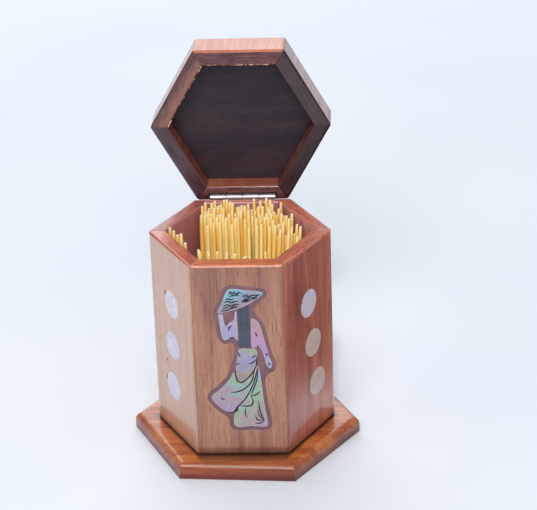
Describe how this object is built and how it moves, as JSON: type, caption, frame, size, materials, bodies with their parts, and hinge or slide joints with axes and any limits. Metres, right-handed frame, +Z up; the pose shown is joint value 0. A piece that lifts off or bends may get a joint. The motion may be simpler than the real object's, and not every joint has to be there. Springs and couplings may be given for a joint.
{
  "type": "toothpick box",
  "caption": "Six-sided lacquered wooden toothpick box on a wider base plate, with a hinged lid, pearl inlay on its front faces and toothpicks standing inside.",
  "frame": {"origin": "middle of the underside of the base plate, on the upright axis of the box", "axes": "+Z up along the box, +X to the right along the hinge pin, -Y out of the front face with the inlaid figure"},
  "size_m": [0.076, 0.0797, 0.1255],
  "materials": {
    "base_wood": "glossy lacquer",
    "inner_wood": "bare, oiled",
    "front_wood": "satin lacquer",
    "red_wood": "satin lacquer",
    "side_wood": "glossy lacquer",
    "lid_wood": "satin lacquer",
    "panel_wood": "oiled dark heartwood",
    "hinge_steel": "bright plated",
    "pearl": "polished mother-of-pearl",
    "filler": "sanded wood-dust filler under lacquer",
    "dark_shell": "polished dark shell",
    "pick_wood": "bare bamboo"
  },
  "bodies": {
    "box": {"base_plate": "base_wood", "box_floor": "inner_wood", "wall_front": "front_wood", "wall_front_right": "red_wood", "wall_back_right": "red_wood", "wall_back": "red_wood", "wall_back_left": "red_wood", "wall_front_left": "side_wood", "hinge_leaf_body": "hinge_steel", "hinge_pin": "hinge_steel", "hinge_screws_body": "hinge_steel", "pearl_discs_left": "pearl", "pearl_discs_right": "pearl", "inlay_bed": "filler", "inlay_hat": "pearl", "inlay_hair": "dark_shell", "inlay_blouse": "pearl", "inlay_sleeve": "pearl", "inlay_tunic": "pearl", "inlay_skirt": "pearl", "inlay_trousers": "pearl", "toothpicks": "pick_wood", "toothpicks_loose": "pick_wood"},
    "lid": {"lid_rail_front": "lid_wood", "lid_rail_front_right": "lid_wood", "lid_rail_back_right": "lid_wood", "lid_rail_back": "lid_wood", "lid_rail_back_left": "lid_wood", "lid_rail_front_left": "lid_wood", "lid_panel": "panel_wood", "hinge_leaf_lid": "hinge_steel", "hinge_screws_lid": "hinge_steel"}
  },
  "joints": [
    {"name": "lid_hinge", "type": "hinge", "parent": "box", "child": "lid", "pos_m": [0, 0.0248, 0.0751], "axis": [1, 0, 0], "range_deg": [0, 96]}
  ]
}
